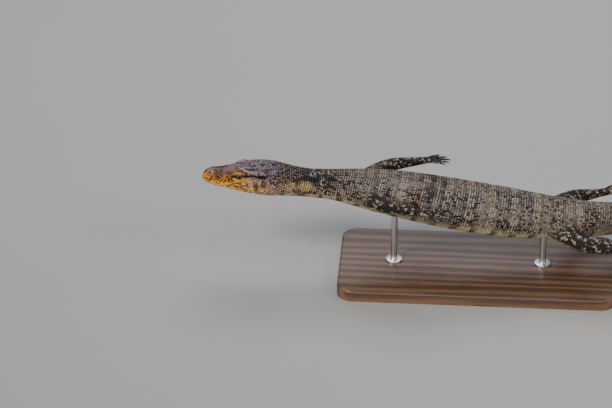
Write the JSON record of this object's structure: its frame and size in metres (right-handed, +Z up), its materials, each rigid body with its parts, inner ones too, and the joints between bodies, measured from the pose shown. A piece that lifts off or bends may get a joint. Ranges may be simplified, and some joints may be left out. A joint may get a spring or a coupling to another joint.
{
  "type": "water monitor lizard display model",
  "caption": "Life-size still model of a swimming water monitor lizard, held level on two short rods over a flat wooden base.",
  "frame": {"origin": "centre of the underside of the stand's base, on the surface it stands on", "axes": "+Z up; the head points to -Y and the tail to +Y; the animal's left side is +X"},
  "size_m": [0.2569, 1.4693, 0.1883],
  "materials": {
    "head_skin": "fine dark scales with yellow lips",
    "jaw_skin": "fine yellow scales",
    "body_skin": "beaded dark scales with pale spots",
    "limb_skin": "small dark scales with pale spots",
    "eye": "wet gloss",
    "claw": "dark horn",
    "wood": "satin dark walnut",
    "steel": "brushed"
  },
  "bodies": {
    "root": {"head": "head_skin", "lower_jaw": "jaw_skin", "eye_left": "eye", "eye_right": "eye", "neck": "body_skin", "torso": "body_skin", "tail_1": "body_skin", "tail_2": "body_skin", "tail_3": "body_skin", "tail_4": "body_skin", "tail_5": "body_skin", "arm_left_upper": "limb_skin", "arm_left_lower": "limb_skin", "arm_right_upper": "limb_skin", "arm_right_lower": "limb_skin", "leg_left_upper": "limb_skin", "leg_left_lower": "limb_skin", "leg_right_upper": "limb_skin", "leg_right_lower": "limb_skin", "hand_left": "limb_skin", "hand_right": "limb_skin", "foot_left": "limb_skin", "foot_right": "limb_skin", "claw_hand_left_1": "claw", "claw_hand_left_2": "claw", "claw_hand_left_3": "claw", "claw_hand_left_4": "claw", "claw_hand_left_5": "claw", "claw_hand_right_1": "claw", "claw_hand_right_2": "claw", "claw_hand_right_3": "claw", "claw_hand_right_4": "claw", "claw_hand_right_5": "claw", "claw_foot_left_1": "claw", "claw_foot_left_2": "claw", "claw_foot_left_3": "claw", "claw_foot_left_4": "claw", "claw_foot_left_5": "claw", "claw_foot_right_1": "claw", "claw_foot_right_2": "claw", "claw_foot_right_3": "claw", "claw_foot_right_4": "claw", "claw_foot_right_5": "claw", "stand_base": "wood", "stand_rod_front": "steel", "stand_rod_rear": "steel"}
  },
  "joints": []
}
